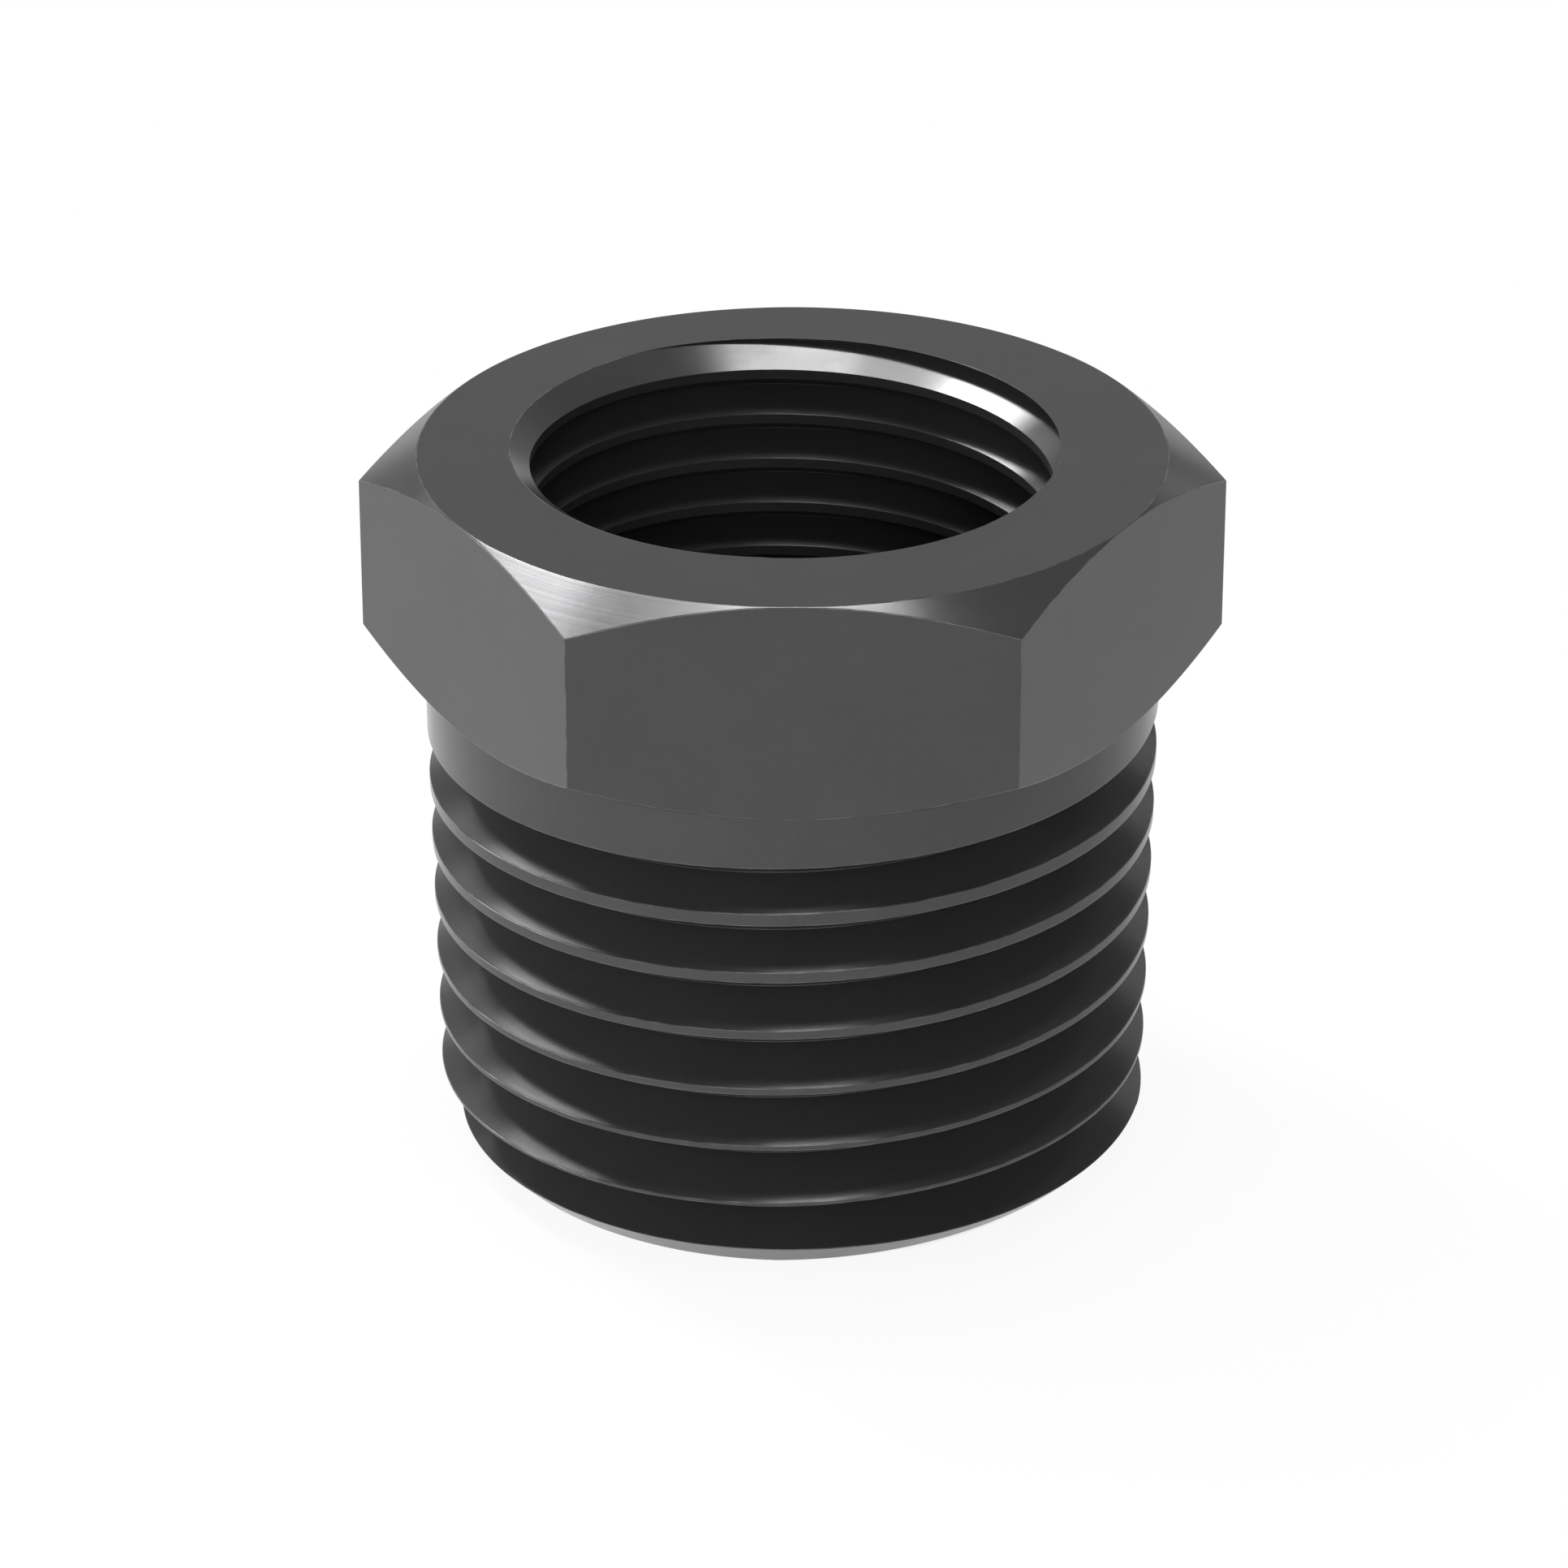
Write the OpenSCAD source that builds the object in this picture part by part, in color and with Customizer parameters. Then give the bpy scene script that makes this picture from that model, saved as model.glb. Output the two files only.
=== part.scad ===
/* [Hex head] */
// Width across the flats of the hexagon
hex_af = 21.3; // [21.1:0.1:27]
// Height of the hexagon
hex_h = 6.4; // [4:0.1:9]
// Slope of the corner chamfers, measured from the end faces, in degrees
hex_chamfer = 30; // [15:1:40]
// How much narrower than the flats the turned end faces are
face_relief = 0.05; // [0.02:0.01:0.6]

/* [Shank] */
// Overall height, from the small end to the top face
total_h = 21.1; // [18:0.1:28]
// Diameter of the plain collar under the hexagon
collar_d = 21.03; // [19.8:0.01:21.1]
// Height of the plain collar
collar_h = 1.57; // [1.3:0.01:3]
// Height of the chamfer at the small end
end_chamfer = 1.09; // [0.5:0.01:1.5]
// Slope of the end chamfer, measured from the axis, in degrees
end_slope = 45; // [30:1:50]

/* [Male thread] */
// Turns in one inch
male_tpi = 14; // [12:1:16]
// Slope of the crests, on each side of the axis, in degrees
crest_taper = 1; // [0:0.1:2]
// Width of the crest land next to the collar
male_land_top = 0.43; // [0.3:0.01:0.6]
// Width of the crest land at the small end
male_land_end = 0.024; // [0.02:0.002:0.2]
// Angle past the front at which the groove starts to run out, in degrees
male_runout_at = 110; // [60:5:130]

/* [Female thread] */
// Turns in one inch
female_tpi = 18; // [16:1:20]
// Diameter over the crests
female_d = 14.87; // [14.6:0.01:15.5]
// Width of the crest land
female_land = 0.286; // [0.2:0.002:0.5]
// Depth of the full thread below the top face
female_len = 9.7; // [7:0.1:11]
// Direction in which the root leaves the top face, in degrees from +X
female_exit = 121; // [90:1:180]
// Height left plain between the thread and the drilled bore
female_rest = 0.5; // [0.2:0.1:1]

/* [Drilled bore] */
// Diameter of the plain bore below the female thread
drill_d = 14.5; // [12:0.1:14.5]
// Height of the chamfer where it leaves the small end
drill_chamfer = 0.4; // [0.1:0.05:0.6]

/* [Threads] */
// Angle between the two flanks of either thread, in degrees
thread_angle = 60; // [55:1:60]
// Angle over which either groove runs out, in degrees
runout = 100; // [60:5:140]
// Facets in one turn of either thread
turn_facets = 60; // [36:12:72]

/* [Hidden] */
metal = "#3c3c3e";
inch = 25.4;
// How far a cutting solid reaches past the face that it cuts
past = 0.5;
// Gap between a cutting solid's mouth and the metal, also where it has run out
clear = 0.004;
// Facets of the true round surfaces when they are drawn on screen
round_facets = 180;
// Direction that one flat of the hexagon faces
front = -90;
flank_run = tan(thread_angle / 2);
step_angle = 360 / turn_facets;
hex_bottom = total_h - hex_h;
face_r = hex_af / 2 - face_relief / 2;
corner_r = hex_af / 2 / cos(30);
corner_drop = (corner_r - face_r) * tan(hex_chamfer);
collar_r = collar_d / 2;
thread_top = hex_bottom - collar_h;
end_r = crest_r(end_chamfer) - end_chamfer * tan(end_slope);
drill_r = drill_d / 2;

// Male thread
male_pitch = inch / male_tpi;
male_bottom_z = -male_pitch / 2 - past;
male_front_z = thread_top - male_half(thread_top);
male_runout_z = male_front_z + male_pitch * male_runout_at / 360;
male_end_z = male_runout_z + male_pitch * runout / 360;

// Female thread
female_pitch = inch / female_tpi;
female_r = female_d / 2;
female_half = (female_pitch - female_land) / 2;
female_full_root_r = female_r + female_half / flank_run;
female_top_z = total_h + female_half + past;
female_runout_z = total_h - female_len;
female_end_z = female_runout_z - female_pitch * runout / 360;
// How far the mouth of the female cutter lies inside the crests
female_past = 0.05;
step_top_z = min(female_runout_z - female_half, female_end_z) - female_rest;
step_bottom_z = step_top_z - (female_r - drill_r);

// Radius of the crests at height z
function crest_r(z) = collar_r - (thread_top - z) * tan(crest_taper);

// Radius of the blank under the collar at height z, end chamfer included
function blank_r(z) = min(crest_r(z), end_r + z * tan(end_slope));

// Width of the crest land at height z
function male_land(z) = male_land_end + (male_land_top - male_land_end) * max(z, 0) / thread_top;

// Half the width of the male groove where it meets the crests
function male_half(z) = (male_pitch - male_land(z)) / 2;

// Radius of the cutter's mouth, whose flat facets still clear the blank
function male_mouth_r(z) = (blank_r(z + male_half(z)) + clear) / cos(step_angle / 2);

// Radius of the root of the male groove, which climbs out of the metal as it runs out
function male_root_r(z) =
    let (full = crest_r(z) - male_half(z) / flank_run)
    let (out = max(0, (z - male_runout_z) / (male_end_z - male_runout_z)))
    full + (male_mouth_r(z) - clear / 2 - full) * out;

// Radius of the root of the female groove, which comes back to the crests as it runs out
function female_root_r(z) =
    let (out = max(0, (female_runout_z - z) / (female_runout_z - female_end_z)))
    female_full_root_r + (female_r - clear - female_full_root_r) * out;

// Section of a groove at height z: its root, then the two corners of its mouth, always the same
// way round, whichever of the two lies further out
function groove_section(root_r, mouth_r, z) =
    let (half = (mouth_r - root_r) * flank_run)
    [[root_r, z], [mouth_r, z - half], [mouth_r, z + half]];

// A flat point turned about the axis
function turned(p, angle) = [p[0] * cos(angle), p[0] * sin(angle), p[1]];

// Triangles of a closed skin over a row of three-cornered sections
function skin_faces(count) = [
    [0, 2, 1],
    for (i = [0 : count - 1], j = [0 : 2])
        let (a = 3 * i + j, b = 3 * i + (j + 1) % 3)
        each [[a, b, a + 3], [b, b + 3, a + 3]],
    [3 * count, 3 * count + 1, 3 * count + 2]
];

// Sections of a groove from low_z to high_z, where it is at height at_z in the direction at_angle
function groove_points(low_z, high_z, pitch, at_z, at_angle, root, mouth) =
    let (count = ceil((high_z - low_z) / pitch * turn_facets))
    [
        for (i = [0 : count])
            let (z = low_z + (high_z - low_z) * i / count)
            let (angle = at_angle + (z - at_z) / pitch * 360)
            for (p = groove_section(root(z), mouth(z), z)) turned(p, angle)
    ];

module groove(points) {
    polyhedron(points, skin_faces(len(points) / 3 - 1), convexity = 10);
}

// Cutter of the male thread, open at the small end and running out under the collar
module male_groove() {
    groove(groove_points(
        male_bottom_z, male_end_z, male_pitch, male_front_z, front,
        function(z) male_root_r(z), function(z) male_mouth_r(z)
    ));
}

// Cutter of the female thread, open at the top face and running out above the drilled bore
module female_groove() {
    groove(groove_points(
        female_end_z, female_top_z, female_pitch, total_h, female_exit,
        function(z) female_root_r(z), function(z) female_r - female_past
    ));
}

// Hexagon with its corners turned off at both ends
module hex_head() {
    intersection() {
        translate([0, 0, hex_bottom])
            cylinder(h = hex_h, r = corner_r, $fn = 6);
        rotate_extrude($fn = round_facets)
            polygon([
                [0, hex_bottom],
                [face_r, hex_bottom],
                [corner_r + past, hex_bottom + corner_drop + past * tan(hex_chamfer)],
                [corner_r + past, total_h - corner_drop - past * tan(hex_chamfer)],
                [face_r, total_h],
                [0, total_h]
            ]);
    }
}

// Collar, tapered blank of the male thread and end chamfer
module shank() {
    rotate_extrude($fn = round_facets)
        polygon([
            [0, 0],
            [end_r, 0],
            [crest_r(end_chamfer), end_chamfer],
            [collar_r, thread_top],
            [collar_r, hex_bottom + corner_drop],
            [0, hex_bottom + corner_drop]
        ]);
}

// Bore through the part: chamfer, drilled length, step, and the wider length that is threaded
module bore() {
    rotate_extrude($fn = round_facets)
        polygon([
            [0, -past],
            [drill_r + drill_chamfer + past, -past],
            [drill_r, drill_chamfer],
            [drill_r, step_bottom_z],
            [female_r, step_top_z],
            [female_r, total_h + past],
            [0, total_h + past]
        ]);
}

module reducer_bushing() {
    color(metal)
        difference() {
            union() {
                hex_head();
                shank();
            }
            bore();
            male_groove();
            female_groove();
        }
}

reducer_bushing();
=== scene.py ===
"""Air fitting reducer: its finish, and the floor, light and camera around it."""

import math

import bpy
import numpy as np
from mathutils import Matrix, Vector


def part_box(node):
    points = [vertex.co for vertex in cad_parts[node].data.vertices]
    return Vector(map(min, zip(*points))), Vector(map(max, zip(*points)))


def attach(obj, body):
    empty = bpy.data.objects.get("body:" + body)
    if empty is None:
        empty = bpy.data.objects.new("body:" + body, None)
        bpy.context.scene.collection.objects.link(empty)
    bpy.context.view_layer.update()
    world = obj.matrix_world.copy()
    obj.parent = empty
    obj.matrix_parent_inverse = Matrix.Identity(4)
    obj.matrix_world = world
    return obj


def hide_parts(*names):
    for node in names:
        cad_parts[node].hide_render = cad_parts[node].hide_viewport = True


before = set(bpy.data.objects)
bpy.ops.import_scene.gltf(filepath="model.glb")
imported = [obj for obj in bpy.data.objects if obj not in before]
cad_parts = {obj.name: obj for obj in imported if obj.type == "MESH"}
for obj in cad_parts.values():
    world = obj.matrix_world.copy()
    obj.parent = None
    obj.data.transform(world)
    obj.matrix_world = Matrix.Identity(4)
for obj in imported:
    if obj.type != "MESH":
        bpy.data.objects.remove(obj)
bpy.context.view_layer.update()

NODE = "reducer_bushing"
MM = 0.001
INCH = 25.4
node_low, node_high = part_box(NODE)

# Overall sizes, measured on the frame, in millimetres
HEX_AF = (node_high.y - node_low.y) / MM
TOTAL_H = (node_high.z - node_low.z) / MM

# Hexagon and shank, in millimetres and degrees
HEX_H = 6.4
HEX_CHAMFER = 30
FACE_RELIEF = 0.05
COLLAR_D = 21.03
COLLAR_H = 1.57
END_CHAMFER = 1.09
END_SLOPE = 45
FRONT = -90

# Male thread
MALE_TPI = 14
CREST_TAPER = 1
MALE_LAND_TOP = 0.43
MALE_LAND_END = 0.024
MALE_RUNOUT_AT = 110

# Female thread and drilled bore
FEMALE_TPI = 18
FEMALE_D = 14.87
FEMALE_LAND = 0.286
FEMALE_LEN = 9.7
FEMALE_EXIT = 121
FEMALE_REST = 0.5
DRILL_D = 14.5
DRILL_CHAMFER = 0.4

# Both threads, and the turns that are tried beyond the length of either
THREAD_ANGLE = 60
RUNOUT = 100
SPARE_TURNS = 2

# How finely the skin is cut, and how much its edges are eased
SEAM = 90
TURN_STEPS = 480
EDGE = 0.03
BORE_EDGE = 0.008
EDGE_STEPS = 2
CORNER_FILLET = 0.05
CORNER_STEPS = 4

# Ranks of the corners of a section. Where corners fall together, the highest is the one eased.
PLAIN = 1
ROOT = 2
MOUTH = 3

# Distances below which two corners, or two points of the skin, are one
SAME_CORNER = 1e-9
SAME_POINT = 1e-7

# Sine of the least turn at which an outer corner shows wear
WORN_TURN = 0.2

# Greatest lean of a flat from upright, in degrees, by which the flats are told from the chamfers
FLAT_LEAN = 5

# Finish: base colour, and colour where the dark film is rubbed thin
STEEL_COLOR = (0.07, 0.07, 0.072)
WORN_COLOR = (0.2, 0.2, 0.203)
METAL_SHARE = 0.5
ROUGHNESS = 0.2
ROUGHNESS_SPREAD = 0.05
TONE_SPREAD = 0.06

# Depth of the tool marks and of the grain, in millimetres
MARK_DEPTH = 0.0008
GRAIN_DEPTH = 0.00012

# Scales of the patterns, as features in a millimetre
RING_SCALE = 8
LINE_SCALE = 7
GRAIN_SCALE = 9
CLOUD_SCALE = 0.35
SPECK_SCALE = 5
RUB_SCALE = 1.6
GLOSS_SCALE = 0.8

# How little the rings change on their way round, and the lines on their way along. The way round
# is read as X with a share of Y, over the radius.
RING_DRIFT = 0.08
LINE_DRIFT = 0.03
WAY_ROUND_MIX = 0.6

# Parts of the fine patterns that are added to the broad ones, and the ranges of the sums
SPECK_SHARE = 0.6
TONE_RANGE = (0.45, 1.15)
GRAIN_SHARE = 0.5
GLOSS_RANGE = (0.45, 1.05)
RUB_RANGE = (0.3, 0.75)

# Softboxes: direction and height above the floor, half width, half height and roll in degrees,
# then radiance, where 1 is white
SOFTBOXES = {
    "key_softbox": (134.3, 51.9, 3.6, 10.4, -17.5, 23),
    "key_edge_softbox": (145.5, 52, 7.2, 8, -17.5, 4.5),
    "key_foot_softbox": (138, 42, 5, 3, 0, 4),
    "overhead_softbox": (69.4, 82, 10.8, 3.9, 21, 15.2),
    "overhead_front_softbox": (280, 84, 7, 6, 0, 15),
    "linking_softbox": (141, 68.5, 3.9, 19.7, -12, 8.6),
    "left_softbox": (179, 8.9, 21.3, 8.1, 4, 6.6),
    "left_rear_softbox": (125, 30, 6, 5, 0, 0.9),
    "front_softbox": (269.4, 23.9, 18.1, 8.4, 11, 3.6),
    "rear_softbox": (105, 24, 36, 16, 0, 0.18),
    "right_softbox": (52, 17, 10, 8, 0, 0.5),
}
SOFTBOX_DISTANCE = 500
STUDIO_LEVEL = 0.18

# Floor: radius, height of its rim and number of sides, then how white its paint is
FLOOR_RADIUS = 1200
FLOOR_RIM = 180
FLOOR_SIDES = 96
FLOOR_WHITE = 0.9

# Share of pure white next to the part, where its shadow falls, and the distances over which the
# share rises to the whole
SHADOW_WHITE = 0.92
SHADOW_REACH = (15, 60)

# Painted shade on the floor, in reflections only: how bright it is painted on the side of the key
# light and, darker, on the other side, and the places along X between which the one passes into
# the other
PAINTED_SHADE_IN_REFLECTIONS = (0.95, 0.77)
PAINTED_SHADE_REACH = (-20, 40)

# Width of the ring in which the floor darkens under the part
UNDER_EDGE = 0.6

# Camera, as the photograph was taken
CAMERA_LENS = 152.596
CAMERA_SENSOR = 36
CAMERA_ELEVATION = 26.287
CAMERA_DISTANCE = 192.487
CAMERA_AIM = (-0.2416, 0, 10.552)
CAMERA_NEAR = 10


def tan(angle):
    return math.tan(math.radians(angle))


def cos(angle):
    return math.cos(math.radians(angle))


def sin(angle):
    return math.sin(math.radians(angle))


FLANK_RUN = tan(THREAD_ANGLE / 2)
HEX_BOTTOM = TOTAL_H - HEX_H
FACE_R = HEX_AF / 2 - FACE_RELIEF / 2
COLLAR_R = COLLAR_D / 2
THREAD_TOP = HEX_BOTTOM - COLLAR_H
DRILL_R = DRILL_D / 2


def crest_r(z):
    """Radius of the male crests at height z."""
    return COLLAR_R - (THREAD_TOP - z) * tan(CREST_TAPER)


END_R = crest_r(END_CHAMFER) - END_CHAMFER * tan(END_SLOPE)


def blank_r(z):
    """Radius of the turned shank at height z, before its thread is cut."""
    return min(COLLAR_R, crest_r(z), END_R + z * tan(END_SLOPE))


MALE_PITCH = INCH / MALE_TPI


def male_half(z):
    """Half the width of the male groove where it meets the crests."""
    land = MALE_LAND_END + (MALE_LAND_TOP - MALE_LAND_END) * max(z, 0) / THREAD_TOP
    return (MALE_PITCH - land) / 2


MALE_FRONT_Z = THREAD_TOP - male_half(THREAD_TOP)
MALE_RUNOUT_Z = MALE_FRONT_Z + MALE_PITCH * MALE_RUNOUT_AT / 360
MALE_END_Z = MALE_RUNOUT_Z + MALE_PITCH * RUNOUT / 360
MALE_TURNS = math.ceil(THREAD_TOP / MALE_PITCH) + SPARE_TURNS + 1

FEMALE_PITCH = INCH / FEMALE_TPI
FEMALE_R = FEMALE_D / 2
FEMALE_HALF = (FEMALE_PITCH - FEMALE_LAND) / 2
FEMALE_FULL_ROOT_R = FEMALE_R + FEMALE_HALF / FLANK_RUN
FEMALE_RUNOUT_Z = TOTAL_H - FEMALE_LEN
FEMALE_END_Z = FEMALE_RUNOUT_Z - FEMALE_PITCH * RUNOUT / 360
STEP_TOP_Z = min(FEMALE_RUNOUT_Z - FEMALE_HALF, FEMALE_END_Z) - FEMALE_REST
STEP_BOTTOM_Z = STEP_TOP_Z - (FEMALE_R - DRILL_R)
FEMALE_TURNS = math.ceil((TOTAL_H - STEP_TOP_Z) / FEMALE_PITCH) + SPARE_TURNS


def male_root_r(z):
    """Radius of the male root, which climbs to the surface as the groove runs out."""
    full = crest_r(z) - male_half(z) / FLANK_RUN
    out = min(1, max(0, (z - MALE_RUNOUT_Z) / (MALE_END_Z - MALE_RUNOUT_Z)))
    return full + (blank_r(z) - full) * out


def female_root_r(z):
    """Radius of the female root, which comes back to the crests as the groove runs out."""
    out = min(1, max(0, (FEMALE_RUNOUT_Z - z) / (FEMALE_RUNOUT_Z - FEMALE_END_Z)))
    return FEMALE_FULL_ROOT_R + (FEMALE_R - FEMALE_FULL_ROOT_R) * out


def hex_r(angle):
    """Radius of the hexagon's outline in a direction, with its corners eased."""
    from_flat = (angle - FRONT + 30) % 60 - 30
    from_corner = 30 - abs(from_flat)
    middle = (HEX_AF / 2 - CORNER_FILLET) / cos(30)
    if from_corner < CORNER_SPREAD:
        across = middle * sin(from_corner)
        return middle * cos(from_corner) + math.sqrt(CORNER_FILLET ** 2 - across ** 2)
    return HEX_AF / 2 / cos(from_flat)


# Angle on each side of a corner of the hexagon within which it is eased
CORNER_SPREAD = 30 - math.degrees(math.atan((1 - 2 * CORNER_FILLET / HEX_AF) * tan(30)))


def shank_point(s):
    """Point at s along the shank: below zero s is minus the height, above it how far in on the end."""
    if s < 0:
        return (blank_r(-s), -s)
    return (END_R - s, 0)


def flank_exit(root_r, root_z, side):
    """Where the flank above (1) or below (-1) a root comes out of the shank, as s along it."""
    found = []
    for at_foot, slope in (
        (COLLAR_R, 0),
        (crest_r(0), tan(CREST_TAPER)),
        (END_R, tan(END_SLOPE)),
    ):
        run = side * slope * FLANK_RUN
        found.append((at_foot + slope * root_z - run * root_r) / (1 - run))
    r = min(found)
    through_end = root_r + root_z / FLANK_RUN
    if side < 0 and through_end < r:
        return END_R - through_end
    return -(root_z + side * (r - root_r) * FLANK_RUN)


def male_groove(angle, turn):
    """Upper mouth, root and lower mouth of one turn of the male groove: s, point, s."""
    z = MALE_FRONT_Z + MALE_PITCH * ((angle - FRONT) / 360 - turn)
    if z >= MALE_END_Z:
        s = -min(z, HEX_BOTTOM)
        return s, shank_point(s), s
    r = male_root_r(z)
    if z > 0:
        return flank_exit(r, z, 1), (r, z), flank_exit(r, z, -1)
    at_end = r - z / FLANK_RUN
    if at_end < END_R:
        s = END_R - at_end
        return flank_exit(r, z, 1), (at_end, 0), s
    return 0, (END_R, 0), 0


def shank_section(angle):
    """Corners of the shank from under the hexagon to the edge of the drilled bore, with their ranks."""
    points = [((COLLAR_R, HEX_BOTTOM), PLAIN)]
    reached = -HEX_BOTTOM
    for turn in range(MALE_TURNS):
        upper, root, lower = male_groove(angle, turn)
        upper = max(upper, reached)
        if lower <= upper:
            lower = upper
            root = shank_point(upper)
        for corner in (-END_CHAMFER, 0):
            s = min(max(corner, reached), upper)
            points.append((shank_point(s), PLAIN))
        points += [(shank_point(upper), MOUTH), (root, ROOT), (shank_point(lower), MOUTH)]
        reached = lower
    for corner in (-END_CHAMFER, 0):
        points.append((shank_point(max(corner, reached)), PLAIN))
    points.append(((DRILL_R + DRILL_CHAMFER, 0), PLAIN))
    return points


def bore_point(s):
    """Point at s along the wider bore: its height, and past the overall height how far out on top."""
    if s < TOTAL_H:
        return (FEMALE_R, s)
    return (FEMALE_R + s - TOTAL_H, TOTAL_H)


def female_groove(angle, turn):
    """Lower mouth, root and upper mouth of one turn of the female groove: s, point, s."""
    z = TOTAL_H + FEMALE_PITCH * ((angle - FEMALE_EXIT) / 360 - turn)
    if z <= FEMALE_END_Z:
        s = max(z, STEP_TOP_Z)
        return s, bore_point(s), s
    r = female_root_r(z)
    half = (r - FEMALE_R) * FLANK_RUN
    if z < TOTAL_H:
        s = z + half
        if s > TOTAL_H:
            s = TOTAL_H + r - (TOTAL_H - z) / FLANK_RUN - FEMALE_R
        return z - half, (r, z), s
    at_top = r - (z - TOTAL_H) / FLANK_RUN
    if at_top > FEMALE_R:
        s = TOTAL_H + at_top - FEMALE_R
        return z - half, (at_top, TOTAL_H), s
    return TOTAL_H, (FEMALE_R, TOTAL_H), TOTAL_H


def bore_section(angle):
    """Corners of the bore from its drilled length up to the top face, with their ranks."""
    points = [
        ((DRILL_R, DRILL_CHAMFER), PLAIN),
        ((DRILL_R, STEP_BOTTOM_Z), PLAIN),
        ((FEMALE_R, STEP_TOP_Z), PLAIN),
    ]
    reached = STEP_TOP_Z
    for turn in reversed(range(FEMALE_TURNS)):
        lower, root, upper = female_groove(angle, turn)
        lower = max(lower, reached)
        if upper <= lower:
            upper = lower
            root = bore_point(lower)
        points.append((bore_point(min(max(TOTAL_H, reached), lower)), PLAIN))
        points += [(bore_point(lower), MOUTH), (root, ROOT), (bore_point(upper), MOUTH)]
        reached = upper
    points.append((bore_point(max(TOTAL_H, reached)), PLAIN))
    return points


def hex_section(angle):
    """Corners of the hexagon, from its top face round to its under face, with their ranks."""
    r = hex_r(angle)
    drop = (r - FACE_R) * tan(HEX_CHAMFER)
    return [
        ((FACE_R, TOTAL_H), PLAIN),
        ((r, TOTAL_H - drop), PLAIN),
        ((r, HEX_BOTTOM + drop), PLAIN),
        ((FACE_R, HEX_BOTTOM), PLAIN),
    ]


def eased(section):
    """The section with each corner cut into a short curve. Corners that fall together share one.

    The second list is how much each point wears: 1 in the middle of an outer corner, 0 elsewhere."""
    places = np.array([p for p, _ in section])
    ranks = [rank for _, rank in section]
    count = len(section)
    wear = np.zeros((count, EDGE_STEPS + 1))
    starts = [
        i for i in range(count)
        if np.abs(places[i] - places[i - 1]).max() > SAME_CORNER
    ]
    out = np.zeros((count, EDGE_STEPS + 1, 2))
    for n, start in enumerate(starts):
        end = starts[(n + 1) % len(starts)]
        group = [(start + k) % count for k in range((end - start) % count or count)]
        here = places[start]
        back = places[starts[n - 1]] - here
        ahead = places[end] - here
        back_len = np.hypot(*back)
        ahead_len = np.hypot(*ahead)
        in_bore = here[0] < FEMALE_FULL_ROOT_R + EDGE and 0 < here[1] < TOTAL_H
        cut = min(BORE_EDGE if in_bore else EDGE, back_len / 3, ahead_len / 3)
        first = here + back / back_len * cut
        last = here + ahead / ahead_len * cut
        leader = max(group, key=lambda i: ranks[i])
        turn = (back[0] * ahead[1] - back[1] * ahead[0]) / (back_len * ahead_len)
        wear[leader, EDGE_STEPS // 2] = turn > WORN_TURN and not in_bore
        passed = False
        for i in group:
            if i == leader:
                for k in range(EDGE_STEPS + 1):
                    t = k / EDGE_STEPS
                    out[i, k] = (1 - t) ** 2 * first + 2 * t * (1 - t) * here + t ** 2 * last
                passed = True
            else:
                out[i, :] = last if passed else first
    return out.reshape(-1, 2), wear.ravel()


def skin_angles():
    """Directions of the sections, evenly spaced, with more of them at the hexagon's corners."""
    angles = [SEAM + 360 * i / TURN_STEPS for i in range(TURN_STEPS + 1)]
    for side in range(6):
        corner = SEAM + 30 + 60 * side
        angles += [
            corner + CORNER_SPREAD * k / CORNER_STEPS
            for k in range(-CORNER_STEPS, CORNER_STEPS + 1)
            if k
        ]
    return sorted(angles)


# Rows of a section that lie in the middle of the hexagon's upper and lower eased edge
UPPER_EDGE_ROW = EDGE_STEPS + 1 + EDGE_STEPS // 2
LOWER_EDGE_ROW = 2 * (EDGE_STEPS + 1) + EDGE_STEPS // 2


def skin_mesh(name):
    """Mesh of the whole part: one closed section for each direction, joined to the next."""
    angles = skin_angles()
    vertices = []
    worn = []
    columns = []
    for angle in angles:
        rows, wear = eased(hex_section(angle) + shank_section(angle) + bore_section(angle))
        at_corner = abs(abs((angle - FRONT + 30) % 60 - 30) - 30) < CORNER_SPREAD / 2
        indices = []
        for i, (r, z) in enumerate(rows):
            if not i or np.abs(rows[i] - rows[i - 1]).max() > SAME_POINT:
                vertices.append((r * cos(angle) * MM, r * sin(angle) * MM, z * MM))
                worn.append(0)
            on_hex_side = at_corner and UPPER_EDGE_ROW <= i <= LOWER_EDGE_ROW
            worn[-1] = max(worn[-1], wear[i], on_hex_side)
            indices.append(len(vertices) - 1)
        columns.append(indices)
    # After a whole turn the rows stand one thread turn on, so the last section finds its points
    # among those of the first by place
    seam_start = columns[-1][0]
    opening = np.array(vertices[: columns[0][-1] + 1])
    for n, index in enumerate(columns[-1]):
        nearest = np.abs(opening - vertices[index]).max(axis=1).argmin()
        columns[-1][n] = int(nearest)
    del vertices[seam_start:], worn[seam_start:]
    faces = []
    for here, there in zip(columns, columns[1:]):
        for i in range(len(here)):
            j = (i + 1) % len(here)
            loop = [here[i], here[j], there[j], there[i]]
            corners = [v for n, v in enumerate(loop) if v != loop[n - 1]]
            if len(corners) > 2:
                faces.append(corners)
    mesh = bpy.data.meshes.new(name)
    mesh.from_pydata(vertices, [], faces)
    mesh.attributes.new("wear", "FLOAT", "POINT").data.foreach_set("value", worn)
    mesh.polygons.foreach_set("use_smooth", [True] * len(mesh.polygons))
    mesh.update()
    mesh.normals_split_custom_set_from_vertices(vertex_normals(mesh))
    mark_drawn_faces(mesh)
    return mesh


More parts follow.
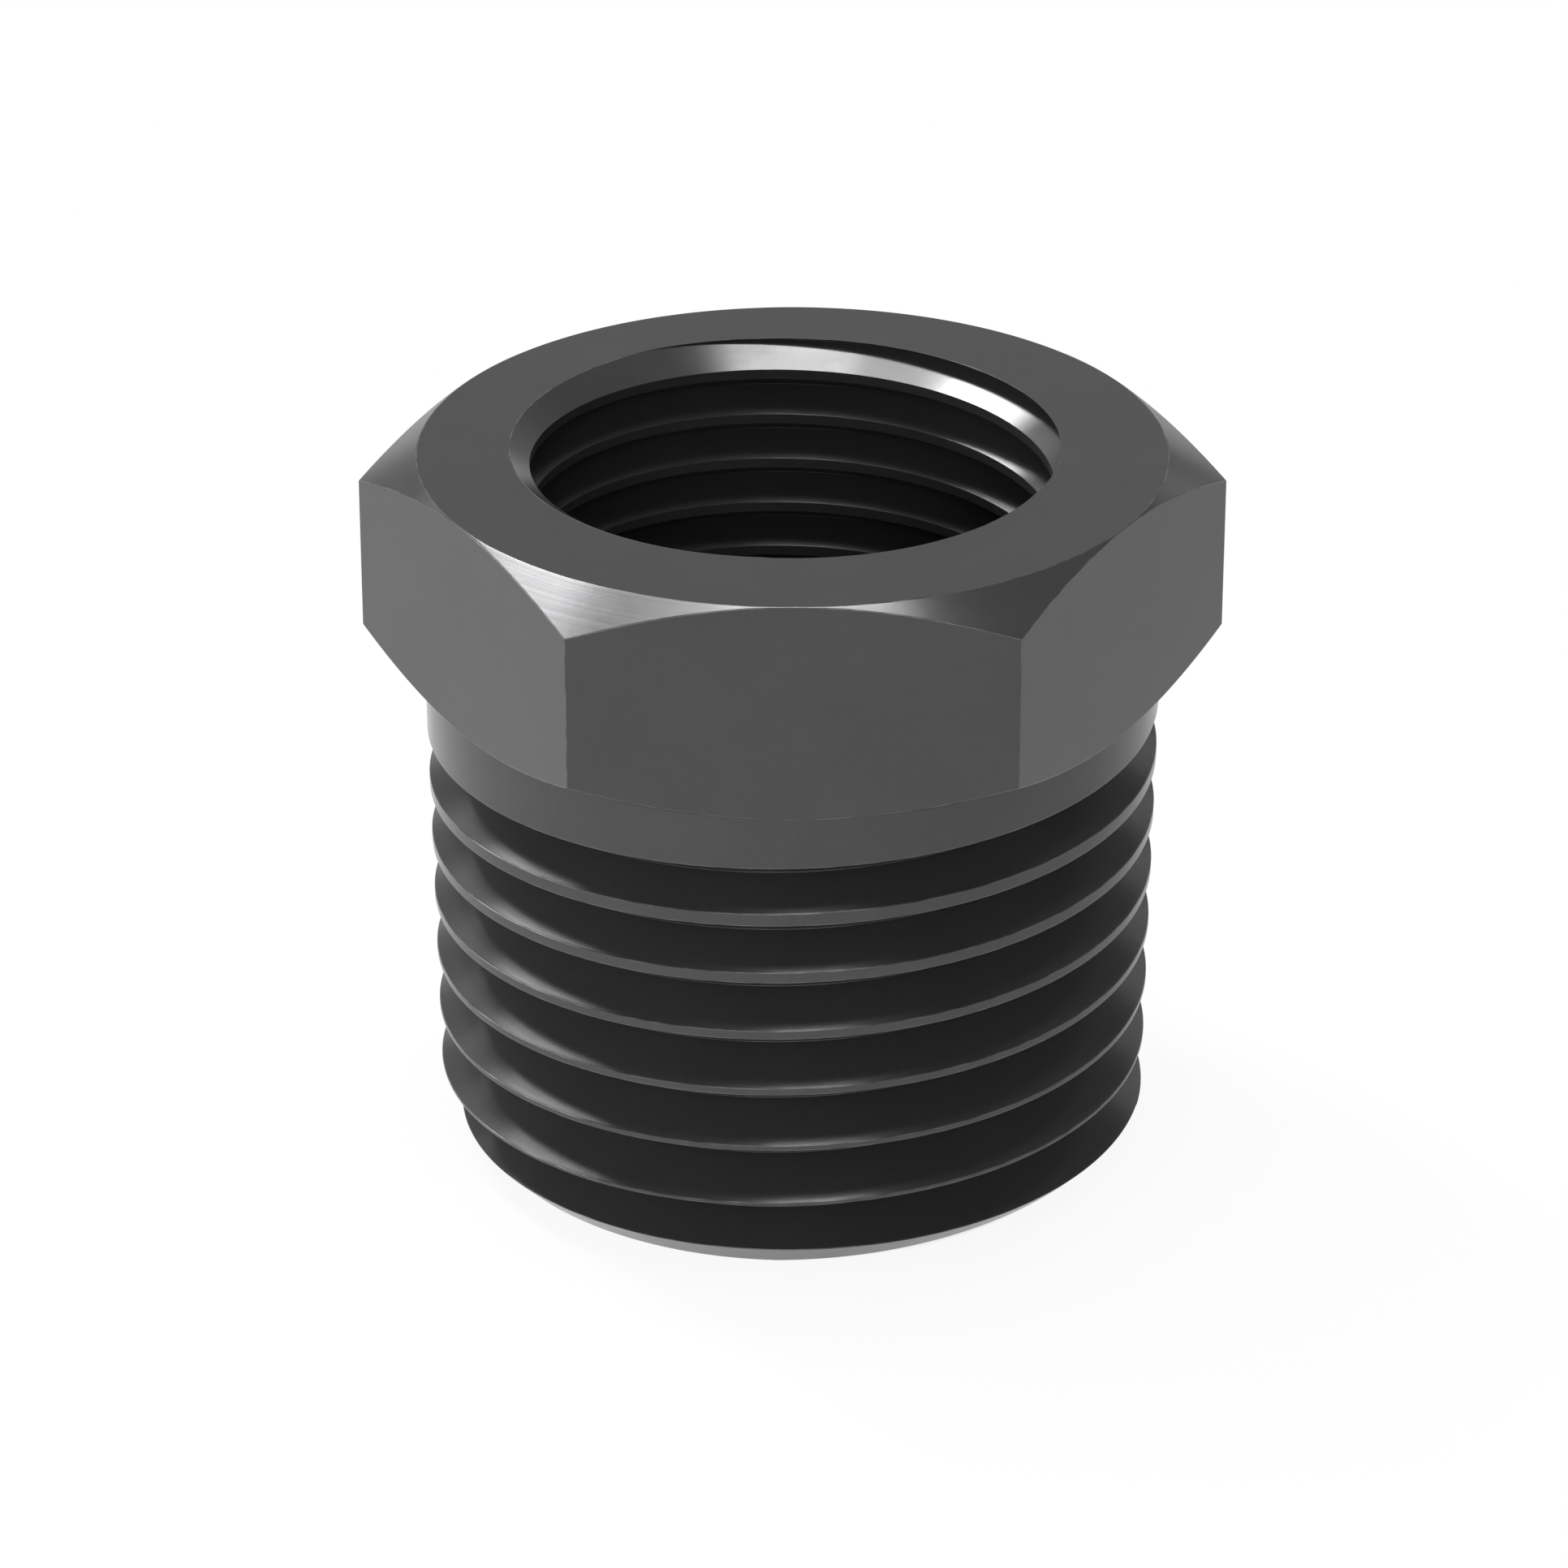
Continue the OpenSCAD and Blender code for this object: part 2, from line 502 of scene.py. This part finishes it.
def vertex_normals(mesh):
    """Normals led by the broad faces, so that only the eased edges between them are shaded round."""
    count = len(mesh.polygons)
    normals = np.zeros(3 * count)
    mesh.polygons.foreach_get("normal", normals)
    areas = np.zeros(count)
    mesh.polygons.foreach_get("area", areas)
    corners = np.zeros(count, dtype=int)
    mesh.polygons.foreach_get("loop_total", corners)
    at = np.zeros(len(mesh.loops), dtype=int)
    mesh.loops.foreach_get("vertex_index", at)
    areas /= areas.max()
    weighted = np.repeat(normals.reshape(-1, 3) * areas[:, None] ** 2, corners, axis=0)
    sums = np.zeros((len(mesh.vertices), 3))
    np.add.at(sums, at, weighted)
    return sums / np.linalg.norm(sums, axis=1)[:, None]


def mark_drawn_faces(mesh):
    """Marks the flats, which keep the surface of the drawn hexagon bar. All else is turned."""
    count = len(mesh.polygons)
    normals = np.zeros(3 * count)
    mesh.polygons.foreach_get("normal", normals)
    centers = np.zeros(3 * count)
    mesh.polygons.foreach_get("center", centers)
    centers = centers.reshape(-1, 3) / MM
    upright = np.abs(normals[2::3]) < sin(FLAT_LEAN)
    outside = np.hypot(centers[:, 0], centers[:, 1]) > (COLLAR_R + HEX_AF / 2) / 2
    drawn = upright & outside & (centers[:, 2] > HEX_BOTTOM)
    mesh.attributes.new("drawn", "FLOAT", "FACE").data.foreach_set("value", drawn.astype(float))


class Nodes:
    """A node tree with short calls for the nodes that the materials use."""

    def __init__(self, tree):
        self.tree = tree

    def add(self, kind, inputs=None, **settings):
        node = self.tree.nodes.new(kind)
        for key, value in settings.items():
            setattr(node, key, value)
        for key, value in (inputs or {}).items():
            if isinstance(value, bpy.types.NodeSocket):
                self.tree.links.new(value, node.inputs[key])
            else:
                node.inputs[key].default_value = value
        return node

    def calc(self, operation, a, b=0, clamp=False):
        made = self.add("ShaderNodeMath", {0: a, 1: b}, operation=operation, use_clamp=clamp)
        return made.outputs[0]

    def ramp(self, value, low, high, to_low=0, to_high=1):
        """The value taken from low..high to the other two numbers, smoothly and no further."""
        made = self.add(
            "ShaderNodeMapRange",
            {"Value": value, "From Min": low, "From Max": high, "To Min": to_low, "To Max": to_high},
            interpolation_type="SMOOTHSTEP",
        )
        return made.outputs["Result"]

    def noise(self, vector, scale, detail=2, roughness=0.5):
        made = self.add(
            "ShaderNodeTexNoise",
            {"Vector": vector, "Scale": scale, "Detail": detail, "Roughness": roughness},
        )
        return made.outputs[0]

    def weighted(self, a, b, weight):
        """The number a with a share of the number b added."""
        return self.calc("ADD", a, self.calc("MULTIPLY", b, weight))

    def vector(self, x, y, z):
        return self.add("ShaderNodeCombineXYZ", {"X": x, "Y": y, "Z": z}).outputs[0]

    def blend(self, factor, a, b):
        """The number a where the factor is 0 and b where it is 1."""
        made = self.add("ShaderNodeMix", {"Factor": factor, "A": a, "B": b}, data_type="FLOAT")
        return made.outputs[0]

    def blend_color(self, factor, a, b):
        """The colour a where the factor is 0 and b where it is 1. Its sockets come 6th and 7th."""
        made = self.add("ShaderNodeMix", data_type="RGBA")
        for place, value in {0: factor, 6: a, 7: b}.items():
            socket = made.inputs[place]
            if isinstance(value, bpy.types.NodeSocket):
                self.tree.links.new(value, socket)
            else:
                socket.default_value = value
        return made.outputs[2]


def new_material(name):
    """A material with an empty tree but for its output."""
    material = bpy.data.materials.new(name)
    material.use_nodes = True
    material.node_tree.nodes.clear()
    nodes = Nodes(material.node_tree)
    return material, nodes, nodes.add("ShaderNodeOutputMaterial")


def dark_steel():
    """Turned steel under a thin black oxide film, waxed to a satin, with lighter outer edges."""
    material, nodes, output = new_material("blackened_steel_finish")
    place = nodes.add("ShaderNodeTexCoord").outputs["Object"]
    in_mm = nodes.add(
        "ShaderNodeVectorMath", {0: place, "Scale": 1 / MM}, operation="SCALE"
    ).outputs[0]
    split = nodes.add("ShaderNodeSeparateXYZ", {0: in_mm})
    x, y, z = split.outputs
    outward = nodes.vector(x, y, 0)
    r = nodes.add("ShaderNodeVectorMath", {0: outward}, operation="LENGTH").outputs["Value"]
    wear = nodes.add("ShaderNodeAttribute", attribute_name="wear").outputs["Fac"]
    drawn = nodes.add("ShaderNodeAttribute", attribute_name="drawn").outputs["Fac"]

    # Fine rings left by the tool on the turned faces, and drawing lines along the flats
    way_round = nodes.calc("DIVIDE", nodes.weighted(x, y, WAY_ROUND_MIX), r)
    around = nodes.vector(r, z, nodes.calc("MULTIPLY", way_round, RING_DRIFT))
    rings = nodes.noise(around, RING_SCALE, 1, 0.6)
    along = nodes.vector(x, y, nodes.calc("MULTIPLY", z, LINE_DRIFT))
    lines = nodes.noise(along, LINE_SCALE, 1, 0.6)
    marks = nodes.blend(drawn, rings, lines)
    grain = nodes.noise(in_mm, GRAIN_SCALE, 1, 0.6)
    marks_bump = nodes.add(
        "ShaderNodeBump", {"Strength": 1, "Distance": MARK_DEPTH * MM, "Height": marks}
    )
    bump = nodes.add(
        "ShaderNodeBump",
        {
            "Strength": 1,
            "Distance": GRAIN_DEPTH * MM,
            "Height": grain,
            "Normal": marks_bump.outputs[0],
        },
    )

    # The film is a little uneven in tone and gloss, and rubbed thin along the outer edges
    clouds = nodes.noise(in_mm, CLOUD_SCALE, 3, 0.55)
    specks = nodes.noise(in_mm, SPECK_SCALE, 3, 0.6)
    tone = nodes.ramp(nodes.weighted(clouds, specks, SPECK_SHARE), *TONE_RANGE)
    darker = (*(v * (1 - TONE_SPREAD) for v in STEEL_COLOR), 1)
    lighter = (*(v * (1 + TONE_SPREAD) for v in STEEL_COLOR), 1)
    film = nodes.blend_color(tone, darker, lighter)
    patches = nodes.ramp(nodes.noise(in_mm, RUB_SCALE), *RUB_RANGE)
    rubbed = nodes.calc("MULTIPLY", wear, patches, True)
    color = nodes.blend_color(rubbed, film, (*WORN_COLOR, 1))
    gloss = nodes.noise(in_mm, GLOSS_SCALE, 3, 0.6)
    roughness = nodes.ramp(
        nodes.weighted(gloss, grain, GRAIN_SHARE), *GLOSS_RANGE,
        ROUGHNESS - ROUGHNESS_SPREAD / 2, ROUGHNESS + ROUGHNESS_SPREAD / 2,
    )
    shader = nodes.add(
        "ShaderNodeBsdfPrincipled",
        {
            "Base Color": color,
            "Metallic": METAL_SHARE,
            "Roughness": roughness,
            "Normal": bump.outputs[0],
        },
    )
    nodes.tree.links.new(shader.outputs[0], output.inputs["Surface"])
    return material


def make_bushing():
    piece = bpy.data.objects.new("bushing_skin", skin_mesh("bushing_skin"))
    bpy.context.scene.collection.objects.link(piece)
    piece.data.materials.append(dark_steel())
    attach(piece, "root")
    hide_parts(NODE)
    return piece


def make_camera():
    data = bpy.data.cameras.new("camera")
    data.lens = CAMERA_LENS
    data.sensor_width = CAMERA_SENSOR
    data.clip_start = CAMERA_NEAR * MM
    camera = bpy.data.objects.new("camera", data)
    x, y, z = CAMERA_AIM
    camera.location = (
        x * MM,
        (y - CAMERA_DISTANCE * cos(CAMERA_ELEVATION)) * MM,
        (z + CAMERA_DISTANCE * sin(CAMERA_ELEVATION)) * MM,
    )
    camera.rotation_euler = (math.radians(90 - CAMERA_ELEVATION), 0, 0)
    bpy.context.scene.collection.objects.link(camera)
    bpy.context.scene.camera = camera


def floor_white():
    """White to the camera, in reflections painted darker away from the key, and the part's soft shadow
    kept around it.
    """
    material, nodes, output = new_material("pale_floor")
    place = nodes.add("ShaderNodeTexCoord").outputs["Object"]
    away = nodes.add("ShaderNodeVectorMath", {0: place}, operation="LENGTH").outputs["Value"]
    near, far = SHADOW_REACH
    share = nodes.ramp(away, near * MM, far * MM, SHADOW_WHITE, 1)
    # Under the part there is only what light falls through its bore
    open_floor = nodes.ramp(away, (END_R - UNDER_EDGE) * MM, END_R * MM)
    share = nodes.calc("MULTIPLY", share, open_floor)
    path = nodes.add("ShaderNodeLightPath").outputs
    seen = nodes.calc("MAXIMUM", path["Is Camera Ray"], path["Is Glossy Ray"])
    seen = nodes.calc("MAXIMUM", seen, path["Is Transmission Ray"])
    x = nodes.add("ShaderNodeSeparateXYZ", {0: place}).outputs[0]
    # Painted shade: in reflections the floor's white is made darker towards +X, away from the key light
    left, right = PAINTED_SHADE_REACH
    painted_shade = nodes.ramp(x, left * MM, right * MM, *PAINTED_SHADE_IN_REFLECTIONS)
    strength = nodes.blend(path["Is Camera Ray"], painted_shade, 1)
    paint = nodes.add("ShaderNodeBsdfDiffuse", {"Color": (FLOOR_WHITE,) * 3 + (1,)})
    white = nodes.add("ShaderNodeEmission", {"Color": (1, 1, 1, 1), "Strength": strength})
    shown = nodes.add(
        "ShaderNodeMixShader",
        {0: nodes.calc("MULTIPLY", seen, share), 1: paint.outputs[0], 2: white.outputs[0]},
    )
    # Nothing is seen of the floor from underneath
    behind = nodes.add("ShaderNodeNewGeometry").outputs["Backfacing"]
    clear = nodes.add("ShaderNodeBsdfTransparent").outputs[0]
    sided = nodes.add("ShaderNodeMixShader", {0: behind, 1: shown.outputs[0], 2: clear})
    nodes.tree.links.new(sided.outputs[0], output.inputs["Surface"])
    return material


def make_floor():
    """A round floor that turns up at its rim, so that it also closes the view from low down."""
    mesh = bpy.data.meshes.new("floor")
    points = [
        (FLOOR_RADIUS * cos(a) * MM, FLOOR_RADIUS * sin(a) * MM, z * MM)
        for z in (0, FLOOR_RIM)
        for a in (360 * i / FLOOR_SIDES for i in range(FLOOR_SIDES))
    ]
    rim = [
        (i, i + FLOOR_SIDES, (i + 1) % FLOOR_SIDES + FLOOR_SIDES, (i + 1) % FLOOR_SIDES)
        for i in range(FLOOR_SIDES)
    ]
    mesh.from_pydata(points, [], [list(range(FLOOR_SIDES))] + rim)
    mesh.materials.append(floor_white())
    floor = bpy.data.objects.new("floor", mesh)
    bpy.context.scene.collection.objects.link(floor)


def make_softbox(name, azimuth, elevation, half_width, half_height, roll, radiance):
    """A rectangular lamp that faces the part, as wide and as high as the angles say."""
    data = bpy.data.lights.new(name, "AREA")
    data.shape = "RECTANGLE"
    data.size = 2 * SOFTBOX_DISTANCE * tan(half_width) * MM
    data.size_y = 2 * SOFTBOX_DISTANCE * tan(half_height) * MM
    data.energy = radiance * math.pi * data.size * data.size_y
    lamp = bpy.data.objects.new(name, data)
    toward = Vector((
        cos(elevation) * cos(azimuth),
        cos(elevation) * sin(azimuth),
        sin(elevation),
    ))
    across = Vector((-sin(azimuth), cos(azimuth), 0))
    up = toward.cross(across)
    x_axis = cos(roll) * across + sin(roll) * up
    y_axis = toward.cross(x_axis)
    lamp.matrix_world = Matrix.Translation(
        Vector((0, 0, TOTAL_H / 2 * MM)) + toward * SOFTBOX_DISTANCE * MM
    ) @ Matrix((x_axis, y_axis, toward)).transposed().to_4x4()
    bpy.context.scene.collection.objects.link(lamp)
    lamp.visible_camera = False


def make_world():
    """The dim, even walls of the studio."""
    world = bpy.data.worlds.new("studio")
    world.use_nodes = True
    background = world.node_tree.nodes["Background"]
    background.inputs["Color"].default_value = (1, 1, 1, 1)
    background.inputs["Strength"].default_value = STUDIO_LEVEL
    bpy.context.scene.world = world


bpy.context.scene.view_settings.view_transform = "Standard"
make_camera()
make_bushing()
make_floor()
for softbox, numbers in SOFTBOXES.items():
    make_softbox(softbox, *numbers)
make_world()
